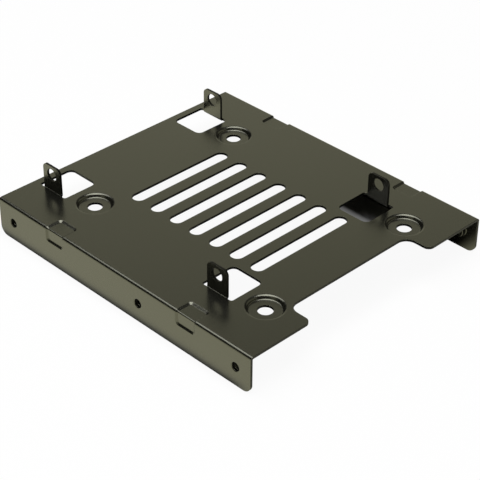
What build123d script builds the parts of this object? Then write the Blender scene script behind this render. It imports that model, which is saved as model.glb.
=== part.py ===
from build123d import *
from math import atan2, cos, radians, sin, tan
import os

os.makedirs("parts", exist_ok=True)

# Drive bay adapter bracket, folded from one sheet of steel. All sizes are in millimetres.
# X runs along the flanges, Y across them and Z up. The origin is the middle of the underside
# of the bounding box, so the flanges stand on Z = 0. The notched end is at +X.
# The front half's features are made once and mirrored to the back half.

# Sheet and bends
sheet = 0.8
bend_inside = 0.2

# Overall sizes: the width is that of a 3.5-inch drive, and the length follows its side holes
width = 101.6
flange_height = 13.2
flange_corner_radius = 3.0

# Wide shallow notch in the plate's end, which leaves room for the lower drive's plugs
notch_depth = 9.3
notch_width = 52.4
notch_root_radius = 3.6
notch_mouth_radius = 2.2

# Cooling slots
slot_count = 7
slot_pitch = 9.0
slot_width = 4.7
slot_to_window = 2.45
slots_middle_from_left = 57.9

# Tapped holes of a 3.5-inch drive's side, measured along the flange from the plain end
side_hole_from_left = 6.8
side_hole_to_middle_hole = 60.0
side_hole_spacing = 101.6
side_hole_from_right = 6.2
side_hole_above_edge = 6.55
thread_minor_diameter = 2.8
screw_entry_radius = 0.45
collar_wall = 0.75
collar_height = 1.7
collar_rim_radius = 0.3
collar_foot_radius = 0.3

# Sunk screw holes for the drive under the plate: bottom pattern of a 2.5-inch drive,
# whose plug end is flush with the notched end
drive_end_to_hole = 14.0
drive_hole_spacing = 76.6
drive_bottom_hole_span = 61.72
dimple_screw_diameter = 4.9
dimple_depth = 1.2
dimple_mouth_diameter = 11.3
dimple_wall_angle = 75.0
dimple_rim_radius = 0.8 * dimple_depth
dimple_foot_radius = 0.45 * dimple_depth
dimple_under_rim_radius = 0.12 * dimple_depth
dimple_under_foot_radius = 1.1 * dimple_depth

# Ears for the drive above the plate, which they hold between them
drive_width = 69.85
drive_side_clearance = 0.175
ear_from_left = 8.9
ear_width = 8.4
ear_height = 9.2
ear_corner_radius = 1.8
ear_hole_height = 6.0
ear_hole_diameter = 4.4

# Windows that the ears are bent out of
window_width = 12.6
window_reach = 13.2
window_corner_radius = 2.0
window_relief_radius = 0.8

# Dents pressed across the flange bends
dent_middles_from_left = (27.8, 87.6)
dent_length = 8.2
dent_plate_reach = 6.4
dent_flange_drop = 5.0
dent_corner_radius = 1.2
dent_depth = 0.5
dent_slope = 0.7
dent_bend_reach = 2.2

# Cutting tools run this far past the faces that they cut
overrun = 2.0

# Places worked out from the sizes above
length = side_hole_from_left + side_hole_spacing + side_hole_from_right
plate_top = flange_height
plate_underside = plate_top - sheet
front_face_y = -width / 2
left_end = -length / 2
right_end = length / 2
bend_outside = bend_inside + sheet
side_hole_x = [
    left_end + side_hole_from_left,
    left_end + side_hole_from_left + side_hole_to_middle_hole,
    left_end + side_hole_from_left + side_hole_spacing,
]
dimple_x = [
    right_end - drive_end_to_hole - drive_hole_spacing,
    right_end - drive_end_to_hole,
]
ear_x = [
    left_end + ear_from_left,
    left_end + ear_from_left + drive_hole_spacing,
]
ear_inner_y = drive_width / 2 + drive_side_clearance
ear_outer_y = ear_inner_y + sheet
ear_bend_y = ear_outer_y + bend_inside
window_inner_y = ear_bend_y - window_reach
slot_length = 2 * (window_inner_y - slot_to_window)


def folded_channel():
    """The plate with its two flanges, bent down along the long edges."""
    outside = Pos(0, flange_height / 2) * Rectangle(width, flange_height)
    outside = fillet(outside.vertices().group_by(Axis.Y)[-1], bend_outside)
    inside = Pos(0, plate_underside / 2) * Rectangle(width - 2 * sheet, plate_underside)
    inside = fillet(inside.vertices().group_by(Axis.Y)[-1], bend_inside)
    return extrude(Plane.YZ * (outside - inside), amount=length / 2, both=True)


def round_flange_corners(bracket):
    """Rounds the lower corners of both flanges."""
    low_edges = bracket.edges().filter_by(Axis.Y).group_by(Axis.Z)[0]
    return fillet(low_edges, flange_corner_radius)


def end_notch():
    """Notch in the plate's end: rounded roots, and a mouth that flares out in rounded corners."""
    half_width = notch_width / 2
    root_x = right_end - notch_depth
    mouth_x = right_end - notch_mouth_radius
    mouth_y = half_width + notch_mouth_radius
    root_middle = (root_x + notch_root_radius, half_width - notch_root_radius)
    half = [
        Line((root_x, 0), (root_x, root_middle[1])),
        CenterArc(root_middle, notch_root_radius, 90, 90),
        Line((root_middle[0], half_width), (mouth_x, half_width)),
        CenterArc((mouth_x, mouth_y), notch_mouth_radius, -90, 90),
        Line((right_end, mouth_y), (right_end + overrun, mouth_y)),
        Line((right_end + overrun, mouth_y), (right_end + overrun, 0)),
        Line((right_end + overrun, 0), (root_x, 0)),
    ]
    area = make_face(half)
    area += mirror(area, about=Plane.XZ)
    return through_plate(area)


def through_plate(area):
    """A cutting tool with the given outline that runs right through the plate."""
    return extrude(Pos(0, 0, plate_underside - overrun) * area, amount=sheet + 2 * overrun)


def cooling_slots():
    """A row of round-ended slots across the middle of the plate."""
    slots = Sketch()
    for index in range(slot_count):
        steps_from_middle = index - (slot_count - 1) / 2
        x = left_end + slots_middle_from_left + steps_from_middle * slot_pitch
        slots += Pos(x, 0) * SlotOverall(slot_length, slot_width, rotation=90)
    return through_plate(slots)


def ear_window():
    """Opening that a front ear is bent out of, about the ear's own middle."""
    window = Pos(0, -ear_bend_y + window_reach / 2) * Rectangle(window_width, window_reach)
    window = fillet(window.vertices().group_by(Axis.Y)[-1], window_corner_radius)
    window = fillet(window.vertices().group_by(Axis.Y)[0], window_relief_radius)
    return through_plate(window)


def ear():
    """A front ear: the end of the plate, the bend and the upright tongue with its hole."""
    root_y = -ear_bend_y - sheet
    bend_z = plate_top + bend_inside
    top_z = plate_top + ear_height
    bend_middle = (-ear_bend_y, bend_z)
    outline = [
        CenterArc(bend_middle, bend_inside, -90, 90),
        Line((-ear_outer_y, bend_z), (-ear_outer_y, top_z)),
        Line((-ear_outer_y, top_z), (-ear_inner_y, top_z)),
        Line((-ear_inner_y, top_z), (-ear_inner_y, bend_z)),
        CenterArc(bend_middle, bend_outside, -90, 90),
        Line((-ear_bend_y, plate_underside), (root_y, plate_underside)),
        Line((root_y, plate_underside), (root_y, plate_top)),
        Line((root_y, plate_top), (-ear_bend_y, plate_top)),
    ]
    strip = extrude(Plane.YZ * make_face(outline), amount=ear_width / 2, both=True)

    tongue_height = top_z - plate_underside
    tongue = Pos(0, plate_underside + tongue_height / 2) * Rectangle(ear_width, tongue_height)
    tongue = fillet(tongue.vertices().group_by(Axis.Y)[-1], ear_corner_radius)
    tongue -= Pos(0, plate_top + ear_hole_height) * Circle(ear_hole_diameter / 2)
    return strip & extrude(Plane.XZ * tongue, amount=width / 2)


def dimple_body(face_z, mouth_radius, rim_radius, foot_radius, closing_z):
    """Round body sunk below a face of the plate: rounded rim, steep wall, foot and floor.

    The mouth radius is where the wall's slope would meet the face without the rounding."""
    angle = radians(dimple_wall_angle)
    floor_z = face_z - dimple_depth
    floor_radius = mouth_radius - dimple_depth / tan(angle)
    rim_start = (mouth_radius + rim_radius * tan(angle / 2), face_z)
    foot_end = (floor_radius - foot_radius * tan(angle / 2), floor_z)
    rim_middle = (rim_start[0], face_z - rim_radius)
    foot_middle = (foot_end[0], floor_z + foot_radius)
    wall_top = (rim_middle[0] - rim_radius * sin(angle), rim_middle[1] + rim_radius * cos(angle))
    wall_foot = (foot_middle[0] + foot_radius * sin(angle), foot_middle[1] - foot_radius * cos(angle))
    outline = [
        Line((0, closing_z), (rim_start[0], closing_z)),
        Line((rim_start[0], closing_z), rim_start),
        CenterArc(rim_middle, rim_radius, 90, dimple_wall_angle),
        Line(wall_top, wall_foot),
        CenterArc(foot_middle, foot_radius, -90, dimple_wall_angle),
        Line(foot_end, (0, floor_z)),
        Line((0, floor_z), (0, closing_z)),
    ]
    return revolve(Plane.XZ * make_face(outline), Axis.Z)


def dimple_pad():
    """The sheet pushed out below the plate by a dimple."""
    mouth_radius = dimple_mouth_diameter / 2 + sheet * tan(radians(dimple_wall_angle) / 2)
    return dimple_body(plate_underside, mouth_radius, dimple_under_rim_radius,
                       dimple_under_foot_radius, plate_top - sheet / 2)


def dimple_recess():
    """The hollow of a dimple and its screw hole."""
    hollow = dimple_body(plate_top, dimple_mouth_diameter / 2, dimple_rim_radius,
                         dimple_foot_radius, plate_top + overrun)
    hole_height = dimple_depth + sheet + 2 * overrun
    hole = Pos(0, 0, plate_top + overrun - hole_height / 2)
    return hollow + hole * Cylinder(dimple_screw_diameter / 2, hole_height)


def side_hole_collar():
    """Collar drawn inward round a front side hole, with a softened rim and foot."""
    inner_y = front_face_y + sheet
    outer_radius = thread_minor_diameter / 2 + collar_wall
    foot_r = outer_radius + collar_foot_radius
    rim_r = outer_radius - collar_rim_radius
    top_y = inner_y + collar_height
    outline = [
        Line((0, inner_y - sheet / 2), (foot_r, inner_y - sheet / 2)),
        Line((foot_r, inner_y - sheet / 2), (foot_r, inner_y)),
        CenterArc((foot_r, inner_y + collar_foot_radius), collar_foot_radius, 180, 90),
        Line((outer_radius, inner_y + collar_foot_radius), (outer_radius, top_y - collar_rim_radius)),
        CenterArc((rim_r, top_y - collar_rim_radius), collar_rim_radius, 0, 90),
        Line((rim_r, top_y), (0, top_y)),
        Line((0, top_y), (0, inner_y - sheet / 2)),
    ]
    return revolve(make_face(outline), Axis.Y)


def side_hole_bore():
    """Tapping bore of a front side hole, with the edge that drawing the collar rolls in."""
    bore_radius = thread_minor_diameter / 2
    entry_r = bore_radius + screw_entry_radius
    end_y = front_face_y + sheet + collar_height + overrun
    outline = [
        Line((0, front_face_y - overrun), (entry_r, front_face_y - overrun)),
        Line((entry_r, front_face_y - overrun), (entry_r, front_face_y)),
        CenterArc((entry_r, front_face_y + screw_entry_radius), screw_entry_radius, 180, 90),
        Line((bore_radius, front_face_y + screw_entry_radius), (bore_radius, end_y)),
        Line((bore_radius, end_y), (0, end_y)),
        Line((0, end_y), (0, front_face_y - overrun)),
    ]
    return revolve(make_face(outline), Axis.Y)


def dent_outline(grow, shrink, reach):
    """Outline of one flat part of a dent: open at the bend, rounded at its two far corners."""
    half_width = dent_length / 2 + grow - shrink
    end = reach + grow - shrink
    outline = Pos(0, (end - overrun) / 2) * Rectangle(2 * half_width, end + overrun)
    corners = outline.vertices().group_by(Axis.Y)[-1]
    return fillet(corners, dent_corner_radius + grow - shrink)


def dent_patch(face, skin, grow, reach, closing):
    """One flat part of a dent, from its mouth in a skin of the sheet down to its floor."""
    mouth = face.offset(-skin) * dent_outline(grow, 0, reach)
    floor = face.offset(-skin - dent_depth) * dent_outline(grow, dent_slope, reach)
    return loft([mouth, floor], ruled=True) + extrude(mouth, amount=skin - closing, dir=face.z_dir)


def dent_bend_section(x, skin, sink, bend_radius, closing):
    """Section of a dent across the front bend: sunk from the skin, closed at the other side."""
    floor_y = front_face_y + skin + sink
    floor_z = plate_top - skin - sink
    far_y = front_face_y + dent_bend_reach
    low_z = plate_top - dent_bend_reach
    points = [
        (floor_y, floor_z - bend_radius),
        (floor_y, low_z),
        (front_face_y + closing, low_z),
        (front_face_y + closing, plate_top - closing),
        (far_y, plate_top - closing),
        (far_y, floor_z),
        (floor_y + bend_radius, floor_z),
    ]
    outline = [Line(start, end) for start, end in zip(points, points[1:])]
    bend_middle = (floor_y + bend_radius, floor_z - bend_radius)
    outline.append(CenterArc(bend_middle, bend_radius, 90, 90))
    return Plane.YZ.offset(x) * make_face(outline)


def dent_bend(skin, grow, flat_bend_radius, sunk_bend_radius, closing):
    """The part of a dent that crosses the bend, with sloping ends."""
    half_mouth = dent_length / 2 + grow
    half_floor = half_mouth - dent_slope
    mouth = [dent_bend_section(x, skin, 0, flat_bend_radius, closing)
             for x in (-half_mouth, half_mouth)]
    floor = [dent_bend_section(x, skin, dent_depth, sunk_bend_radius, closing)
             for x in (-half_floor, half_floor)]
    body = loft([floor[0], floor[1]], ruled=True)
    body += loft([mouth[0], floor[0]], ruled=True)
    body += loft([floor[1], mouth[1]], ruled=True)
    return body


def dent_body(skin, grow, flat_bend_radius, sunk_bend_radius, closing):
    """A front dent about its own middle: a part in the plate, one in the flange and the bend."""
    corner = (0, front_face_y, plate_top)
    plate_face = Plane(corner, x_dir=(1, 0, 0), z_dir=(0, 0, 1))
    flange_face = Plane(corner, x_dir=(-1, 0, 0), z_dir=(0, -1, 0))
    body = dent_bend(skin, grow, flat_bend_radius, sunk_bend_radius, closing)
    body += dent_patch(plate_face, skin, grow, dent_plate_reach, closing)
    body += dent_patch(flange_face, skin, grow, dent_flange_drop, closing)
    return body


def dent_pad():
    """The sheet pushed in behind a dent, grown so that its slopes keep the sheet's thickness."""
    slope_angle = atan2(dent_depth, dent_slope)
    grow = sheet * tan(slope_angle / 2)
    pad = dent_body(sheet, grow, bend_inside, bend_inside, sheet / 2)
    return pad & inside_skins()


def inside_skins():
    """Room behind the outer faces of the plate and the front flange."""
    room = Pos(0, front_face_y + sheet / 2, plate_top - sheet / 2)
    return room * Box(length, width / 2, flange_height, align=(Align.CENTER, Align.MIN, Align.MAX))


def dent_recess():
    """The hollow of a dent."""
    sunk_radius = bend_outside - dent_depth
    return dent_body(0, 0, bend_outside, sunk_radius, -overrun)


def both_sides(front):
    """A front feature and its mirror image at the back."""
    return [front, mirror(front, about=Plane.XZ)]


def make_bracket():
    """The whole bracket as one folded sheet."""
    bracket = round_flange_corners(folded_channel())
    bracket -= end_notch()
    bracket -= cooling_slots()
    for x in ear_x:
        for window in both_sides(Pos(x, 0, 0) * ear_window()):
            bracket -= window
        for tongue in both_sides(Pos(x, 0, 0) * ear()):
            bracket += tongue
    for x in dimple_x:
        front_dimple = Pos(x, -drive_bottom_hole_span / 2, 0)
        for pad in both_sides(front_dimple * dimple_pad()):
            bracket += pad
        for recess in both_sides(front_dimple * dimple_recess()):
            bracket -= recess
    for x_from_left in dent_middles_from_left:
        middle = Pos(left_end + x_from_left, 0, 0)
        for pad in both_sides(middle * dent_pad()):
            bracket += pad
        for recess in both_sides(middle * dent_recess()):
            bracket -= recess
    for x in side_hole_x:
        hole = Pos(x, 0, side_hole_above_edge)
        for collar in both_sides(hole * side_hole_collar()):
            bracket += collar
        for bore in both_sides(hole * side_hole_bore()):
            bracket -= bore
    return bracket


bracket = make_bracket()
bracket.label = "bracket"
export_step(bracket, "parts/bracket.step")
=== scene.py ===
from math import cos, pi, radians, sin

import bpy
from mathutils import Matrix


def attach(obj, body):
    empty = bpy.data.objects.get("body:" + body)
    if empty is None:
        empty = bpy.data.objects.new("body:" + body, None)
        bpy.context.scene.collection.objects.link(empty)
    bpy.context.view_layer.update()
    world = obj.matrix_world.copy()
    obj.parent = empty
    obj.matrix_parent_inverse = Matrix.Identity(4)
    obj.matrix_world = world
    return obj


# Looks for a folded drive bay bracket with a dark olive coating. Lengths are in metres.
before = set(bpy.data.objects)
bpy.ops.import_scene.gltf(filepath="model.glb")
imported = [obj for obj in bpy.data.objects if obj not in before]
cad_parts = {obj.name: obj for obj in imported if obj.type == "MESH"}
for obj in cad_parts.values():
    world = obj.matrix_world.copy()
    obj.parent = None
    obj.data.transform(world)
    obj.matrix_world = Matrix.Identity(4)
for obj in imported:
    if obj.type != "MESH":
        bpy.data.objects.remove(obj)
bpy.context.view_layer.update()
scene = bpy.context.scene
scene.view_settings.view_transform = "Standard"

MM = 0.001

# Camera, placed by fitting a pinhole camera to the photograph
CAMERA_PLACE = (0.29522, -0.29064, 0.28322)
CAMERA_TURN = (55.715, -0.331, 45.539)
CAMERA_LENS = 116.66
CAMERA_SENSOR = 36.0

# The side holes' threads: 32 turns to the inch, in the bores that the solid has
THREAD_PITCH = 25.4 / 32 * MM
THREAD_BORE_RADIUS = 1.4 * MM
THREAD_RIDGE = 0.17 * MM
THREAD_SEAT = 0.02 * MM
THREAD_START = 0.55 * MM
THREAD_TURNS = 2.4
THREAD_STEPS_PER_TURN = 40
THREAD_HALF_FOOT = 0.42 * THREAD_PITCH
THREAD_HALF_CREST = 0.08 * THREAD_PITCH
THREAD_ENDS_PER_TURN = 3
SIDE_FACE_Y = 50.8 * MM
SIDE_HOLE_Z = 6.55 * MM
SIDE_HOLE_X = (-50.5 * MM, 9.5 * MM, 51.1 * MM)

# Zones of the sheet, for telling its punched edges from its skins: heights, distances from the
# middle plane and from a dimple's axis, and the size of the normal's part along an axis
EAR_ZONE = 13.6 * MM
FLANGE_ZONE = (49.8 * MM, 12.2 * MM)
PLATE_ZONE = 34.8 * MM
DIMPLE_X = (-33.3 * MM, 43.3 * MM)
DIMPLE_Y = 30.86 * MM
DIMPLE_ZONE = (2.6 * MM, 6.4 * MM)
SKIN_NORMAL = 0.5
END_NORMAL = 0.75

# Coating: its own colour is nearly black, and what shows is its gloss
COAT_COLOUR = (0.0035, 0.0035, 0.003)
COAT_IOR = 2.1
GLOSS_TINT = (0.90, 0.905, 0.72)
GLOSS_ROUGHNESS = 0.25
# On the punched edges the gloss is tinted much darker and made rougher
EDGE_TINT = (0.06, 0.06, 0.045)
EDGE_ROUGHNESS = 0.45
SOFT_EDGE_RADIUS = 0.15 * MM
SOFT_EDGE_SAMPLES = 6
GRAIN_SCALE = 1800
GRAIN_DETAIL = 4
GRAIN_STRENGTH = 0.08
GRAIN_DEPTH = 0.05 * MM

# Floor: FLOOR_GLOW is the share of it that is plain white to the camera and in gloss, and the
# rest of it takes the light and the bracket's shadow
FLOOR_SIZE = 6.0
FLOOR_GREY = 0.9
FLOOR_GLOW = 0.94

# Painted shadow on the floor under the plate, as the gloss and the back right window show it:
# there the floor's own colour is a darker grey, and the gloss sees it without the white glow.
# The camera sees it without the glow only in the patch seen through that window, a painted
# dark patch, and along that patch's near border a painted band of light brightens it a little.
# Painted shadow: the floor's own colour under the plate, and the span and soft edges of it
PAINTED_SHADOW_GREY = 0.3
SHADE_X = (-0.0573, 0.0490)
SHADE_X_EDGE = 0.010
SHADE_Y = (-0.0508, 0.0508)
SHADE_Y_EDGE = 0.003
# Painted dark patch: the floor seen through the back right window, with its soft edge
PAINTED_SHADOW_PATCH = ((0.004, 0.026), (0.0385, 0.0505))
PAINTED_SHADOW_PATCH_EDGE = 0.0015
# Painted band of light along that patch's near border: where it fades in, and its level
PAINTED_LIGHT_BAND = (0.0412, 0.0386)
PAINTED_LIGHT_BAND_LEVEL = 0.12

# Surroundings: a dark room with pale sheets standing in it, as the gloss shows them.
# Each sheet has a direction, the slopes over which its top fades, the slopes over which its
# sides fade, and a level. The first one is the backdrop.
ROOM_LEVEL = 0.02
SHEET_TINT = (1.0, 0.98, 0.77)
LEAST_TOWARD = 0.001
SHEETS = (
    ((-0.7071, 0.7071, 0.0), (0.50, 1.05), (0.20, 0.44), 0.64),
    ((0.7071, 0.7071, 0.0), (0.60, 1.10), (0.60, 1.00), 0.35),
    ((0.0, -1.0, 0.0), (0.60, 1.10), (0.20, 0.45), 0.35),
)

# Overhead softboxes, side by side: name, size, place and power
SOFTBOX_COLOUR = (1.0, 1.0, 1.02)
SOFTBOXES = (
    ("softbox_main", (0.75, 0.75), (0.075, -0.145, 0.80), 6.8),
    ("softbox_left", (0.42, 0.63), (-0.510, -0.085, 0.80), 2.0),
)


def make_camera():
    """The photograph's camera."""
    data = bpy.data.cameras.new("camera")
    data.lens = CAMERA_LENS
    data.sensor_width = CAMERA_SENSOR
    camera = bpy.data.objects.new("camera", data)
    camera.location = CAMERA_PLACE
    camera.rotation_euler = [radians(angle) for angle in CAMERA_TURN]
    scene.collection.objects.link(camera)
    scene.camera = camera


def new_material(name):
    """A material with its nodes and links."""
    material = bpy.data.materials.new(name)
    material.use_nodes = True
    return material, material.node_tree.nodes, material.node_tree.links


def calc(tree, operation, first, second=0.0):
    """One math node; an input is a socket or a number."""
    node = tree.nodes.new("ShaderNodeMath")
    node.operation = operation
    for slot, value in enumerate((first, second)):
        if isinstance(value, (int, float)):
            node.inputs[slot].default_value = value
        else:
            tree.links.new(value, node.inputs[slot])
    return node.outputs[0]


def fade(tree, value, start, end):
    """Smooth change from 0 to 1 while value goes from start to end."""
    node = tree.nodes.new("ShaderNodeMapRange")
    node.interpolation_type = "SMOOTHSTEP"
    node.inputs["From Min"].default_value = start
    node.inputs["From Max"].default_value = end
    tree.links.new(value, node.inputs["Value"])
    return node.outputs["Result"]


def flag(tree, value, operation, limit):
    """1 where value is GREATER_THAN or LESS_THAN limit, else 0."""
    return calc(tree, operation, value, limit)


def cut_edges(tree):
    """1 on the punched edges of the sheet, 0 on its two skins."""
    place = tree.nodes.new("ShaderNodeTexCoord")
    point = tree.nodes.new("ShaderNodeSeparateXYZ")
    tree.links.new(place.outputs["Object"], point.inputs[0])
    across, height = point.outputs["X"], point.outputs["Z"]
    off_middle = calc(tree, "ABSOLUTE", point.outputs["Y"])
    facing = tree.nodes.new("ShaderNodeNewGeometry")
    way = tree.nodes.new("ShaderNodeSeparateXYZ")
    tree.links.new(facing.outputs["True Normal"], way.inputs[0])
    off_z = flag(tree, calc(tree, "ABSOLUTE", way.outputs["Z"]), "LESS_THAN", SKIN_NORMAL)
    off_y = flag(tree, calc(tree, "ABSOLUTE", way.outputs["Y"]), "LESS_THAN", SKIN_NORMAL)
    endwise = flag(tree, calc(tree, "ABSOLUTE", way.outputs["X"]), "GREATER_THAN", END_NORMAL)
    in_ear = flag(tree, height, "GREATER_THAN", EAR_ZONE)
    beside = flag(tree, off_middle, "GREATER_THAN", FLANGE_ZONE[0])
    in_flange = calc(tree, "MULTIPLY", beside, flag(tree, height, "LESS_THAN", FLANGE_ZONE[1]))
    stands = calc(tree, "MAXIMUM", in_ear, in_flange)
    inner = flag(tree, off_middle, "LESS_THAN", PLATE_ZONE)
    lies = calc(tree, "MULTIPLY", inner, calc(tree, "SUBTRACT", 1.0, stands))
    folds = calc(tree, "SUBTRACT", calc(tree, "SUBTRACT", 1.0, stands), lies)
    ring = ring_distance(tree, across, off_middle)
    in_dimple = calc(tree, "MULTIPLY", flag(tree, ring, "LESS_THAN", DIMPLE_ZONE[1]),
                     flag(tree, ring, "GREATER_THAN", DIMPLE_ZONE[0]))
    plate_edges = calc(tree, "MULTIPLY", lies, off_z)
    fold_ends = calc(tree, "MULTIPLY", folds, endwise)
    low = calc(tree, "ADD", plate_edges, fold_ends)
    low = calc(tree, "MULTIPLY", low, calc(tree, "SUBTRACT", 1.0, in_dimple))
    return calc(tree, "ADD", low, calc(tree, "MULTIPLY", stands, off_y))


def ring_distance(tree, across, off_middle):
    """Distance from the axis of the nearest dimple."""
    nearest = None
    for middle in DIMPLE_X:
        reach = calc(tree, "ABSOLUTE", calc(tree, "SUBTRACT", across, middle))
        nearest = reach if nearest is None else calc(tree, "MINIMUM", nearest, reach)
    sideways = calc(tree, "SUBTRACT", off_middle, DIMPLE_Y)
    square = calc(tree, "ADD", calc(tree, "MULTIPLY", nearest, nearest),
                  calc(tree, "MULTIPLY", sideways, sideways))
    return calc(tree, "SQRT", square)


def coating_material():
    """Thin semi-gloss dark coating over rolled steel; on the punched edges its gloss is tinted
    much darker and made rougher.
    """
    material, nodes, links = new_material("dark_coating")
    tree = material.node_tree
    shader = nodes["Principled BSDF"]
    shader.inputs["Base Color"].default_value = (*COAT_COLOUR, 1)
    shader.inputs["IOR"].default_value = COAT_IOR
    cut = cut_edges(tree)
    tint = nodes.new("ShaderNodeMix")
    tint.data_type = "RGBA"
    tint.inputs[6].default_value = (*GLOSS_TINT, 1)
    tint.inputs[7].default_value = (*EDGE_TINT, 1)
    links.new(cut, tint.inputs[0])
    links.new(tint.outputs[2], shader.inputs["Specular Tint"])
    rough = nodes.new("ShaderNodeMapRange")
    rough.inputs["To Min"].default_value = GLOSS_ROUGHNESS
    rough.inputs["To Max"].default_value = EDGE_ROUGHNESS
    links.new(cut, rough.inputs["Value"])
    links.new(rough.outputs["Result"], shader.inputs["Roughness"])

    place = nodes.new("ShaderNodeTexCoord")
    grain = nodes.new("ShaderNodeTexNoise")
    grain.inputs["Scale"].default_value = GRAIN_SCALE
    grain.inputs["Detail"].default_value = GRAIN_DETAIL
    links.new(place.outputs["Object"], grain.inputs["Vector"])
    bump = nodes.new("ShaderNodeBump")
    bump.inputs["Strength"].default_value = GRAIN_STRENGTH
    bump.inputs["Distance"].default_value = GRAIN_DEPTH
    links.new(grain.outputs["Fac"], bump.inputs["Height"])
    soft = nodes.new("ShaderNodeBevel")
    soft.samples = SOFT_EDGE_SAMPLES
    soft.inputs["Radius"].default_value = SOFT_EDGE_RADIUS
    links.new(soft.outputs["Normal"], bump.inputs["Normal"])
    links.new(bump.outputs["Normal"], shader.inputs["Normal"])
    return material


def within(tree, value, low, high, edge):
    """1 between low and high, and a soft fall to 0 over edge outside of them."""
    rise = fade(tree, value, low - edge, low)
    fall = fade(tree, value, high + edge, high)
    return calc(tree, "MULTIPLY", rise, fall)


def floor_material():
    """Pale floor: white to the camera and in gloss, with the bracket's shadow on it, and with
    painted shade and a painted band of light under the plate.
    """
    material, nodes, links = new_material("pale_floor")
    tree = material.node_tree
    out = nodes["Material Output"]
    nodes.remove(nodes["Principled BSDF"])
    place = nodes.new("ShaderNodeNewGeometry")
    split = nodes.new("ShaderNodeSeparateXYZ")
    links.new(place.outputs["Position"], split.inputs[0])
    across, along = split.outputs["X"], split.outputs["Y"]
    under_x = within(tree, across, *SHADE_X, SHADE_X_EDGE)
    under_y = within(tree, along, *SHADE_Y, SHADE_Y_EDGE)
    under = calc(tree, "MULTIPLY", under_x, under_y)
    # Painted dark patch: here the camera sees the floor without its white glow
    window_x = within(tree, across, *PAINTED_SHADOW_PATCH[0], PAINTED_SHADOW_PATCH_EDGE)
    window_y = within(tree, along, *PAINTED_SHADOW_PATCH[1], PAINTED_SHADOW_PATCH_EDGE)
    window = calc(tree, "MULTIPLY", window_x, window_y)
    # Painted band of light: some glow comes back along the patch's near border
    band = calc(tree, "MULTIPLY", fade(tree, along, *PAINTED_LIGHT_BAND), PAINTED_LIGHT_BAND_LEVEL)
    window = calc(tree, "MULTIPLY", window, calc(tree, "SUBTRACT", 1.0, band))
    path = nodes.new("ShaderNodeLightPath")
    camera_glow = calc(tree, "SUBTRACT", path.outputs["Is Camera Ray"], window)
    gloss = calc(tree, "MAXIMUM", path.outputs["Is Glossy Ray"],
                 path.outputs["Is Transmission Ray"])
    gloss_glow = calc(tree, "SUBTRACT", gloss, under)
    glow = calc(tree, "MAXIMUM", calc(tree, "MAXIMUM", camera_glow, gloss_glow), 0.0)
    # Painted shadow: under the plate the floor's own colour turns to the darker grey
    grey = nodes.new("ShaderNodeMix")
    grey.data_type = "RGBA"
    links.new(under, grey.inputs[0])
    grey.inputs[6].default_value = (FLOOR_GREY, FLOOR_GREY, FLOOR_GREY, 1)
    grey.inputs[7].default_value = (PAINTED_SHADOW_GREY, PAINTED_SHADOW_GREY, PAINTED_SHADOW_GREY, 1)
    plain = nodes.new("ShaderNodeBsdfDiffuse")
    links.new(grey.outputs[2], plain.inputs["Color"])
    tone = nodes.new("ShaderNodeMix")
    tone.data_type = "RGBA"
    links.new(path.outputs["Is Camera Ray"], tone.inputs[0])
    tone.inputs[6].default_value = (*SHEET_TINT, 1)
    tone.inputs[7].default_value = (1, 1, 1, 1)
    white = nodes.new("ShaderNodeEmission")
    links.new(tone.outputs[2], white.inputs["Color"])
    mix = nodes.new("ShaderNodeMixShader")
    links.new(calc(tree, "MULTIPLY", glow, FLOOR_GLOW), mix.inputs["Fac"])
    links.new(plain.outputs[0], mix.inputs[1])
    links.new(white.outputs[0], mix.inputs[2])
    links.new(mix.outputs[0], out.inputs["Surface"])
    return material


def make_floor():
    """A wide plain floor at the height of the frame's origin."""
    half = FLOOR_SIZE / 2
    mesh = bpy.data.meshes.new("floor")
    mesh.from_pydata([(-half, -half, 0), (half, -half, 0), (half, half, 0), (-half, half, 0)],
                     [], [(0, 1, 2, 3)])
    floor = bpy.data.objects.new("floor", mesh)
    floor.data.materials.append(floor_material())
    scene.collection.objects.link(floor)


def along_direction(tree, vector, direction):
    """The part of vector along direction."""
    node = tree.nodes.new("ShaderNodeVectorMath")
    node.operation = "DOT_PRODUCT"
    tree.links.new(vector, node.inputs[0])
    node.inputs[1].default_value = direction
    return node.outputs["Value"]


def make_world():
    """A dark room with pale sheets in it; the camera itself sees white."""
    world = bpy.data.worlds.new("world")
    scene.world = world
    world.use_nodes = True
    tree = world.node_tree
    place = tree.nodes.new("ShaderNodeTexCoord")
    way = place.outputs["Generated"]
    up = along_direction(tree, way, (0.0, 0.0, 1.0))
    level = None
    for (x, y, z), top, side, strength in SHEETS:
        toward = calc(tree, "MAXIMUM", along_direction(tree, way, (x, y, z)), LEAST_TOWARD)
        beside = calc(tree, "ABSOLUTE", along_direction(tree, way, (-y, x, z)))
        rise = calc(tree, "DIVIDE", up, toward)
        turn = calc(tree, "DIVIDE", beside, toward)
        below_top = calc(tree, "SUBTRACT", 1.0, fade(tree, rise, *top))
        across = calc(tree, "SUBTRACT", 1.0, fade(tree, turn, *side))
        sheet = calc(tree, "MULTIPLY", calc(tree, "MULTIPLY", below_top, across), strength)
        level = calc(tree, "ADD", sheet, ROOM_LEVEL if level is None else level)
    path = tree.nodes.new("ShaderNodeLightPath")
    tinted = tree.nodes.new("ShaderNodeVectorMath")
    tinted.operation = "SCALE"
    tinted.inputs[0].default_value = SHEET_TINT
    tree.links.new(level, tinted.inputs["Scale"])
    white = tree.nodes.new("ShaderNodeMix")
    white.data_type = "RGBA"
    tree.links.new(path.outputs["Is Camera Ray"], white.inputs[0])
    tree.links.new(tinted.outputs[0], white.inputs[6])
    white.inputs[7].default_value = (1, 1, 1, 1)
    tree.links.new(white.outputs[2], tree.nodes["Background"].inputs["Color"])


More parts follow.
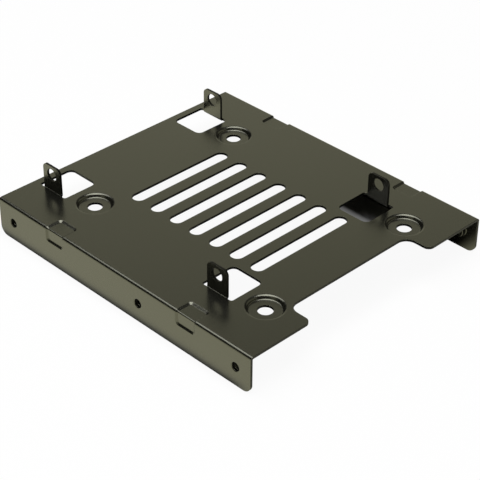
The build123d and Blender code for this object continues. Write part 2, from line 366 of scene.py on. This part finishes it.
def make_softboxes():
    """The overhead softboxes, which all point straight down."""
    for name, size, place, power in SOFTBOXES:
        data = bpy.data.lights.new(name, "AREA")
        data.shape = "RECTANGLE"
        data.size, data.size_y = size
        data.energy = power
        data.color = SOFTBOX_COLOUR
        lamp = bpy.data.objects.new(name, data)
        lamp.location = place
        scene.collection.objects.link(lamp)


def thread_mesh(name):
    """A helical ridge that stands inward from a bore along +Y, and fades out at both ends."""
    steps = round(THREAD_TURNS * THREAD_STEPS_PER_TURN)
    wall = THREAD_BORE_RADIUS + THREAD_SEAT
    points = []
    faces = []
    for step in range(steps + 1):
        turn = step / THREAD_STEPS_PER_TURN
        angle = 2 * pi * turn
        share = min(1.0, THREAD_ENDS_PER_TURN * turn,
                    THREAD_ENDS_PER_TURN * (THREAD_TURNS - turn))
        crest = wall - (THREAD_RIDGE + THREAD_SEAT) * share
        middle = THREAD_START + turn * THREAD_PITCH
        for radius, along in ((wall, -THREAD_HALF_FOOT), (crest, -THREAD_HALF_CREST),
                              (crest, THREAD_HALF_CREST), (wall, THREAD_HALF_FOOT)):
            points.append((radius * cos(angle), middle + along, radius * sin(angle)))
    for step in range(steps):
        first = 4 * step
        for corner in range(3):
            a = first + corner
            faces.append((a, a + 1, a + 5, a + 4))
        faces.append((first + 3, first, first + 4, first + 7))
    faces.append((0, 3, 2, 1))
    last = 4 * steps
    faces.append((last, last + 1, last + 2, last + 3))
    mesh = bpy.data.meshes.new(name)
    mesh.from_pydata(points, [], faces)
    for face in mesh.polygons:
        face.use_smooth = True
    return mesh


def make_threads(material):
    """One thread ridge in each side hole, three to a flange."""
    for side, name in ((-1, "front"), (1, "back")):
        for number, x in enumerate(SIDE_HOLE_X, start=1):
            mesh = thread_mesh(f"thread_{name}_{number}")
            mesh.materials.append(material)
            ridge = bpy.data.objects.new(mesh.name, mesh)
            ridge.location = (x, side * SIDE_FACE_Y, SIDE_HOLE_Z)
            if side > 0:
                ridge.rotation_euler = (0, 0, pi)
            scene.collection.objects.link(ridge)
            bpy.context.view_layer.update()
            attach(ridge, "root")


make_camera()
coating = coating_material()
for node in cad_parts.values():
    for slot in node.material_slots:
        slot.material = coating
make_threads(coating)
make_floor()
make_world()
make_softboxes()
